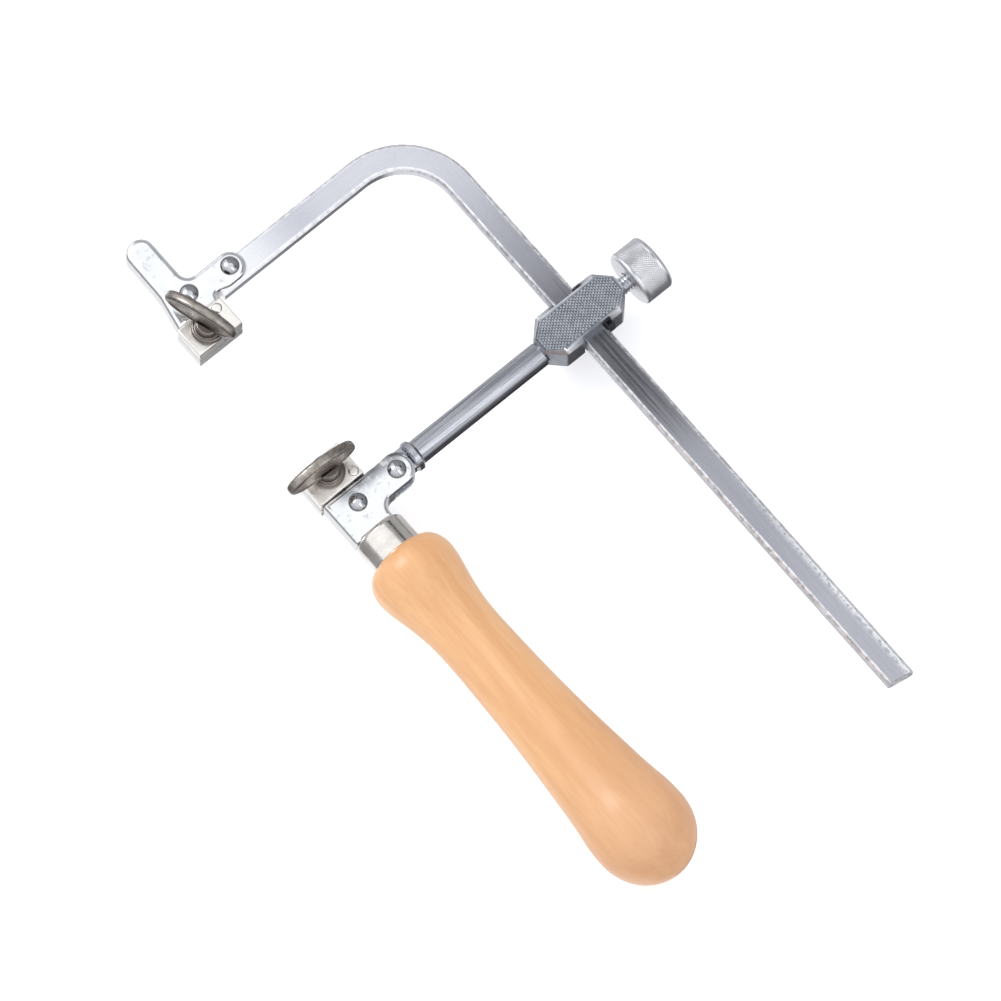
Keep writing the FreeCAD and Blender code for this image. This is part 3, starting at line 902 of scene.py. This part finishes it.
def make_thumb_wings(finish):
    """Oval thumb wings with a rolled rim, bright where fingers polish it, and hollowed faces."""
    hollow, rim, slope, middle = 0.3, 1.3, 0.5, 3.6
    for side in ("lower", "upper"):
        node = side + "_thumb_wing"
        wing = wing_frame(side)
        half = wing["half_t"]
        near = [(-half + hollow, middle, 0), (-half + hollow, rim + slope, 0.7), (-half, rim, 0.5),
                (-half, 0, 1.0)]
        far = [(-across, depth, radius) for across, depth, radius in reversed(near)]
        outline = rounded_profile(near + far, step=12)
        wear_and_shade = [max(0.0, 1 - depth / rim) for across, depth in outline]
        shape = Shape()
        oval_body(shape, wing, outline, wear_and_shade)
        stand_for(node, shape, finish)


# ---- rod and block

def make_cross_rod(finish):
    """Round rod with a collar, flattened into a tongue below it and stepped into the block above."""
    sides = 96
    low, high = corners_of("cross_rod")
    block_low = corners_of("slide_block")[0].y
    centre = middle_of("cross_rod")
    rod_r, tenon_r, collar_r = 3.4, 2.7, (high.x - low.x) / 2
    collar_low, collar_high = 18.7, 20.8
    tongue_x, tongue_z, tongue_soft = 3.5, 2.1, 0.3
    nearly_square = 10.0
    tongue = [(low.y, tongue_x - tongue_soft, tongue_z - tongue_soft),
              (low.y + tongue_soft, tongue_x, tongue_z), (collar_low - 0.4, tongue_x, tongue_z)]
    collar = [(collar_low, collar_r - 0.3), (collar_low + 0.25, collar_r), (collar_high - 0.5, collar_r),
              (collar_high - 0.1, collar_r - 0.35), (collar_high, rod_r + 0.25)]
    rod = [(collar_high + 0.3, rod_r), (block_low - 0.05, rod_r), (block_low, rod_r - 0.05)]
    tenon = [(block_low, tenon_r), (high.y - 0.2, tenon_r), (high.y, tenon_r - 0.2)]
    rows = [(y, half_x, half_z, nearly_square) for y, half_x, half_z in tongue]
    rows += [(y, radius, radius, ROUND) for y, radius in collar + rod + tenon]
    shape = Shape()
    numbers = []
    for y, half_x, half_z, power in rows:
        ring = []
        for angle in full_turn(sides):
            cosine, sine = math.cos(angle), math.sin(angle)
            x = math.copysign(abs(cosine) ** (2 / power), cosine) * half_x
            z = math.copysign(abs(sine) ** (2 / power), sine) * half_z
            ring.append((centre.x + x, y, z))
        numbers.append(shape.ring(ring))
    shape.loft(numbers)
    stand_for("cross_rod", shape, finish)


def knurled_face(shape, row, loop, height):
    """Fill a loop with rows of small pyramids whose tips stand at its height."""
    depth, across, along = 0.24, 0.95, 1.15
    plain_edge, tip_wear = 0.25, 0.35
    border = inset(loop, plain_edge)
    low_x, high_x = min(p.x for p in loop), max(p.x for p in loop)
    low_y, high_y = min(p.y for p in loop), max(p.y for p in loop)
    side = 1 if height > 0 else -1
    centre = Vector(((low_x + high_x) / 2, (low_y + high_y) / 2))
    count_x = int((high_x - low_x) / across) + 2
    count_y = int((high_y - low_y) / along) + 2
    grooves, tips, creases = {}, [], set()

    def corner(i, j):
        if (i, j) not in grooves:
            x, y = centre.x + i * across / 2, centre.y + j * along / 2
            grooves[(i, j)] = shape.ring([(x, y, height - side * depth)])[0]
        return grooves[(i, j)]

    for i in range(-2 * count_x, 2 * count_x):
        for j in range(-2 * count_y, 2 * count_y):
            if (i + j) % 2 == 0:
                continue
            tip = centre + Vector((i * across / 2, j * along / 2))
            around = [(i - 1, j), (i, j - 1), (i + 1, j), (i, j + 1)]
            spots = [centre + Vector((a * across / 2, b * along / 2)) for a, b in around]
            if not all(inside(spot, border) for spot in spots):
                continue
            numbers = [corner(*a) for a in around]
            tips.append(shape.ring([(tip.x, tip.y, height)], tip_wear)[0])
            creases.update(tuple(sorted(pair)) for pair in zip(numbers, numbers[1:] + numbers[:1]))
    shape.fill([row], list(grooves.values()) + tips, creases)


def make_slide_block(finish):
    """Block with eight sides, bright chamfers, knurled faces, and a slot for the bar."""
    low, high = corners_of("slide_block")
    centre = middle_of("slide_block")
    cut, turn, chamfer, soft = 4.2, 1.2, 1.1, 0.12
    end_share, end_wear, beside = 0.3, 0.3, 0.1
    corners = [(low.x, low.y + cut), (low.x + cut, low.y), (high.x - cut, low.y), (high.x, low.y + cut),
               (high.x, high.y - cut), (high.x - cut, high.y), (low.x + cut, high.y),
               (low.x, high.y - cut)]
    loop = round_corners([(x, y, turn) for x, y in corners], step=15)
    # (distance inwards, drop below the face, wear) from the face, over its chamfer, to the wall
    over_edge = [(chamfer, 0.0, 0.6), (chamfer - soft, soft * 0.4, 1.0), (soft, chamfer - soft, 1.0),
                 (0.0, chamfer + soft, 0.3)]
    levels = [(distance, low.z + drop, wear_and_shade) for distance, drop, wear_and_shade in over_edge]
    levels += [(distance, high.z - drop, wear_and_shade) for distance, drop, wear_and_shade in reversed(over_edge)]

    def narrowed(distance):
        """The outline with its long sides moved in by a distance, and its ends by much less."""
        share_x = 1 - distance / (high.x - centre.x)
        share_y = 1 - end_share * distance / (high.y - centre.y)
        return [Vector((centre.x + (p.x - centre.x) * share_x, centre.y + (p.y - centre.y) * share_y))
                for p in loop]

    shape = Shape()
    rows = []
    for distance, z, wear_and_shade in levels:
        rows.append(shape.ring([(p.x, p.y, z) for p in narrowed(distance)]))
        for number, point in zip(rows[-1], loop):
            on_side = min(point.x - low.x, high.x - point.x) < beside
            shape.wear_and_shade[number] = wear_and_shade if on_side else end_wear * wear_and_shade
    shape.loft(rows, capped=False)
    knurled_face(shape, rows[-1], narrowed(chamfer), high.z)
    knurled_face(shape, rows[0], narrowed(chamfer), low.z)
    stand_for("slide_block", shape, finish, sharp=20, tools=slide_block_tools(low, high))


def slide_block_tools(low, high):
    """What is cut out of the block: the bar's slot, its two open mouths, and the rod and screw holes."""
    gap, top_gap, mouth = 0.06, 1.5, 1.1
    rod_hole_r, rod_hole_depth, screw_hole_r = 2.73, 5.03, 2.56
    bar_high = corners_of("frame_bar")[1]
    slot = (bar_high.y - BAR_WIDTH - gap, bar_high.y + top_gap)
    slot_half_t = bar_high.z + gap
    tools = [tool_box((low.x - PAST, high.x + PAST), slot, (-slot_half_t, slot_half_t))]
    for x in ((low.x - PAST, low.x + mouth), (high.x - mouth, high.x + PAST)):
        tools.append(tool_box(x, slot, (low.z - PAST, high.z + PAST)))
    rod_x, screw_x = middle_of("cross_rod").x, middle_of("clamp_screw").x
    tools.append(tool_rod((rod_x, low.y - PAST, 0), rod_hole_r, rod_hole_depth + PAST))
    tools.append(tool_rod((screw_x, slot[1] - PAST, 0), screw_hole_r, high.y - slot[1] + 2 * PAST))
    return tools


# ---- bar

def bar_path():
    """(point, outward direction) along the bar's centre line, from the arm's end to the tail."""
    bend_r, step = 18.4, 0.7
    low, high = corners_of("frame_bar")
    arm_x = low.x + BAR_WIDTH / 2
    back_y = high.y - BAR_WIDTH / 2
    centre = Vector((arm_x + bend_r, back_y - bend_r))
    path = []
    arm = centre.y - low.y
    count = round(arm / step)
    path += [(Vector((arm_x, low.y + arm * k / count)), Vector((-1, 0))) for k in range(count)]
    count = round(bend_r * math.pi / 2 / step)
    for k in range(count):
        angle = math.pi - math.pi / 2 * k / count
        out = Vector((math.cos(angle), math.sin(angle)))
        path.append((centre + out * bend_r, out))
    back = high.x - centre.x
    count = round(back / step)
    path += [(Vector((centre.x + back * k / count, back_y)), Vector((0, 1))) for k in range(count + 1)]
    return path


def make_frame_bar(finish):
    """Flat bar swept along its path, with bevelled edges that are nicked by use and a skew tail."""
    bevel, soft, skew, skew_length, nick = 0.7, 0.22, 1.2, 12.0, 0.03
    flat_margin_u, flat_margin_v, beside = 0.5, 0.4, 0.1
    large_nicks, small_nicks = 1.6, 0.6
    high = corners_of("frame_bar")[1]
    half_w, half_t = BAR_WIDTH / 2, high.z
    flat_u, flat_v = half_w - bevel - flat_margin_u, half_t - bevel - flat_margin_v
    quarter = [(half_w, flat_v, 0), (half_w, half_t - bevel, soft), (half_w - bevel, half_t, soft),
               (flat_u, half_t, 0)]
    section = quarter + [(-u, v, r) for u, v, r in reversed(quarter)]
    section = round_corners(section + [(-u, -v, r) for u, v, r in section], step=20)
    shape = Shape()
    rows = []
    for point, out in bar_path():
        share = max(0.0, (point.x - high.x + skew_length) / skew_length)
        row = []
        wear_and_shade = []
        for u, v in section:
            slant = skew * share * (u / BAR_WIDTH - 0.5)
            spot = point + out * u
            place = Vector((spot.x + slant, spot.y, v))
            on_bevel = abs(u) > flat_u + beside and abs(v) > flat_v + beside
            if on_bevel:
                rough = noise.noise(place / large_nicks) + 0.5 * noise.noise(place / small_nicks)
                dent = nick * max(0.0, rough)
                place -= Vector((out.x * math.copysign(dent, u), out.y * math.copysign(dent, u),
                                 math.copysign(dent, v)))
            row.append(place)
            wear_and_shade.append(1.0 if on_bevel else 0.0)
        numbers = shape.ring(row)
        for n, value in zip(numbers, wear_and_shade):
            shape.wear_and_shade[n] = value
        rows.append(numbers)
    shape.loft(rows)
    stand_for("frame_bar", shape, finish)


# ---- clamping screw

def make_clamp_screw(finish):
    """Threaded screw between the shoe and the knob."""
    sides = 64
    pitch, depth, lead_in, lead_out, run_out = 0.8, 0.45, 0.4, 0.1, 0.1
    low, high = corners_of("clamp_screw")
    centre = middle_of("clamp_screw")
    radius = (high.x - low.x) / 2
    shank = subdivided([(low.y + lead_in, radius), (high.y - lead_out, radius)], pitch / 8)
    profile = [(low.y, 0), (low.y, radius - lead_in)] + shank + [(high.y, radius - lead_out), (high.y, 0)]
    shape = Shape()
    turned(shape, profile, sides, along_axis((centre.x, 0, centre.z), (0, 1, 0)),
           thread(pitch, depth, low.y + lead_in + run_out, high.y - lead_out - run_out))
    stand_for("clamp_screw", shape, finish)


def make_clamp_knob(finish):
    """Domed knob with a fine diamond knurl round its side."""
    low, high = corners_of("clamp_knob")
    centre = middle_of("clamp_knob")
    radius = (high.x - low.x) / 2
    diamonds, step, depth = 72, 0.38, 0.08
    dome, dome_pieces, rim, bore_r, bore = 0.8, 8, 1.0, 2.53, 7.0
    plain_r, plain_below, plain_above = radius - depth / 2, 1.2, 1.1
    band = (low.y + plain_below, high.y - dome - plain_above)
    sides = 2 * diamonds
    place = along_axis((centre.x, 0, 0), (0, 1, 0))
    start = rounded_profile([(low.y + bore, 0, 0), (low.y + bore, bore_r, 0), (low.y, bore_r, 0.2),
                             (low.y, plain_r, rim), (band[0], plain_r, 0)])
    shape = Shape()
    last = turned(shape, start[:-1], sides, place, capped=False)[-1]
    last = knurled_band(shape, last, band, radius, depth, step, place)
    dome_r = (radius ** 2 + dome ** 2) / (2 * dome)
    reach = math.asin((radius - rim) / dome_r)
    bottom = high.y - dome_r
    cap = rounded_profile([(band[1], plain_r, 0), (high.y - dome - 0.1, plain_r, 0.9),
                           (bottom + dome_r * math.cos(reach), radius - rim, 0)])
    angles = [reach * k / dome_pieces for k in range(dome_pieces - 1, -1, -1)]
    cap += [(bottom + dome_r * math.cos(angle), dome_r * math.sin(angle)) for angle in angles]
    shape.bridge(last, turned(shape, cap[1:], sides, place, capped=False)[0])
    stand_for("clamp_knob", shape, finish, sharp=25)


def knurled_band(shape, previous, band, radius, depth, step, place):
    """Diamonds round a knob between two places along it, joined to the row before them. Returns the
    last row."""
    sides = len(previous)
    count = round((band[1] - band[0]) / step)
    for j in range(count + 1):
        along = band[0] + (band[1] - band[0]) * j / count
        ring = []
        for k, angle in enumerate(full_turn(sides)):
            r = radius - (depth if (j + k) % 2 == 0 else 0.0)
            ring.append(place(along, r * math.cos(angle), r * math.sin(angle)))
        row = shape.ring(ring)
        if j == 0:
            shape.bridge(previous, row)
        else:
            for k in range(sides):
                a, b = previous[k], previous[(k + 1) % sides]
                c, d = row[(k + 1) % sides], row[k]
                low_first = (j - 1 + k) % 2 == 0
                shape.faces += [[a, b, c], [a, c, d]] if low_first else [[a, b, d], [b, c, d]]
        previous = row
    return previous


# ---- stage

def make_floor():
    """A plain pale floor just under the lowest point."""
    half, below = 6000.0, 0.05
    floor = level_sheet("floor", (-half, half), (-half, half), cad_low.z / MM - below)
    finish = Finish("floor_paper", 0.0, 0.9)
    finish.set("Base Color", (0.93, 0.93, 0.94))
    finish.set("Specular IOR Level", 0.1)
    finish.set("Emission Color", (0.98, 0.98, 1.0))
    finish.set("Emission Strength", 0.34)
    floor.data.materials.append(finish.material)
    floor.visible_glossy = False


def only_reflected(item, colour):
    """Paint a part of the stage, and hide it from all but the metal's reflections."""
    finish = Finish(item.name, 0.0, 1.0)
    finish.set("Base Color", colour)
    finish.set("Specular IOR Level", 0.0)
    item.data.materials.append(finish.material)
    item.visible_camera = False
    item.visible_diffuse = False
    item.visible_shadow = False


def make_flag(name, start, stop, low, high, grey):
    """A grey cloth curved round the stage, between two bearings and two heights in degrees."""
    radius, pieces = 900.0, 24
    bearings = [math.radians(start + (stop - start) * k / pieces) for k in range(pieces + 1)]
    shape = Shape()
    rows = []
    for tilt in (low, high):
        height = radius * math.tan(math.radians(tilt))
        rows.append(shape.ring([(radius * math.cos(a), radius * math.sin(a), height) for a in bearings]))
    lower, upper = rows
    shape.faces += [[a, b, c, d] for a, b, c, d in zip(lower, lower[1:], upper[1:], upper)]
    only_reflected(scene_object(name, shape), (grey, grey, grey))


def make_card(name, x, y, height, grey):
    """A level card, slightly blue, between two limits along X and Y."""
    bluish = 1.1
    only_reflected(level_sheet(name, x, y, height), (grey, grey, grey * bluish))


def make_lamp(name, place, size, power):
    """A soft lamp aimed at the middle of the object."""
    light = bpy.data.lights.new(name, "AREA")
    light.shape = "RECTANGLE"
    light.size, light.size_y = size
    light.energy = power
    lamp = bpy.data.objects.new(name, light)
    bpy.context.scene.collection.objects.link(lamp)
    lamp.location = Vector(place)
    centre = (cad_low + cad_high) / 2
    lamp.rotation_euler = (centre - lamp.location).to_track_quat("-Z", "Y").to_euler()
    lamp.visible_camera = False
    return lamp


def make_world():
    """An even pale surround, with a darker band round the horizon."""
    brightness = 1.08
    floor_glow, horizon, sky = (0.95, 0.95, 0.97), (0.26, 0.26, 0.28), (0.97, 0.98, 1.0)
    band = [(-10, floor_glow), (-7, horizon), (3, horizon), (9, sky)]
    world = bpy.data.worlds.new("studio")
    bpy.context.scene.world = world
    nodes = Nodes(world, "Background")
    direction = nodes.node("TexCoord", {}).outputs["Generated"]
    up = nodes.node("SeparateXYZ", {"Vector": direction}).outputs["Z"]
    height = nodes.node("MapRange", {"Value": up, "From Min": -1.0}).outputs["Result"]
    ramp = nodes.node("ValToRGB", {"Fac": height})
    while len(ramp.color_ramp.elements) < len(band):
        ramp.color_ramp.elements.new(0.5)
    for element, (tilt, colour) in zip(ramp.color_ramp.elements, band):
        element.position = (math.sin(math.radians(tilt)) + 1) / 2
        element.color = (*colour, 1)
    nodes.set("Color", ramp.outputs["Color"])
    nodes.set("Strength", brightness)


def make_camera():
    """A long lens looking steeply down, with the handle running to the lower right."""
    elevation = math.radians(71.8)
    turn = math.radians(49.85)
    distance = 8.0
    lens_per_metre = 142.06
    middle_of_view = Vector((0.0054, 0.0291, 0.0))
    data = bpy.data.cameras.new("camera")
    data.sensor_width = 36.0
    data.lens = lens_per_metre * distance
    data.clip_end = 4 * distance
    camera = bpy.data.objects.new("camera", data)
    bpy.context.scene.collection.objects.link(camera)
    ahead = Vector((-math.sin(turn), math.cos(turn), 0))
    look = ahead * math.cos(elevation) - Vector((0, 0, math.sin(elevation)))
    camera.location = middle_of_view - look * distance
    camera.rotation_euler = look.to_track_quat("-Z", "Y").to_euler()
    bpy.context.scene.camera = camera


def make_object():
    """Every piece of the saw frame with its finish."""
    core_metal = core_finish()
    jaw_metal = jaw_finish()
    thumb_metal = thumb_finish()
    knob_metal = knob_finish()
    make_handle(wood_finish())
    make_ferrule(ferrule_finish())
    make_plates(plate_finish())
    make_rivets(rivet_finish())
    make_guide_pins(jaw_metal)
    make_moving_jaws(jaw_metal)
    make_thumb_screws(thumb_metal)
    make_thumb_wings(thumb_metal)
    make_cross_rod(rod_finish())
    make_slide_block(block_finish())
    make_frame_bar(bar_finish())
    make_clamp_screw(knob_metal)
    make_clamp_knob(knob_metal)
    dress("lower_clamp_core", core_metal)
    dress("upper_clamp_core", core_metal)
    dress("pressure_shoe", shoe_finish(), 0.08)


make_object()
make_floor()
# What the metal reflects besides the sky: flags by bearing and height in degrees, cards by their
# limits and height in millimetres, each with its grey.
make_flag("flag_back", 40, 165, 0, 58, 0.30)
make_flag("flag_back_low", 40, 165, -55, 0, 0.55)
make_flag("flag_front", 215, 325, -42, 17, 0.30)
make_flag("flag_right", -30, 40, -60, -2, 0.10)
make_card("card_over_block", (-50, 1), (78, 114), 80, 0.02)
make_card("card_below", (-20, 190), (50, 175), -300, 0.05)
make_world()
# Lamps by place and size in metres, and power in watts.
edge_light = make_lamp("right_box", (0.75, 0.15, 1.05), (0.12, 0.9), 1.1)
edge_light.visible_diffuse = False
make_lamp("left_box", (-0.85, -0.35, 1.0), (0.5, 0.5), 6.0)
make_camera()
bpy.context.scene.view_settings.view_transform = "Standard"
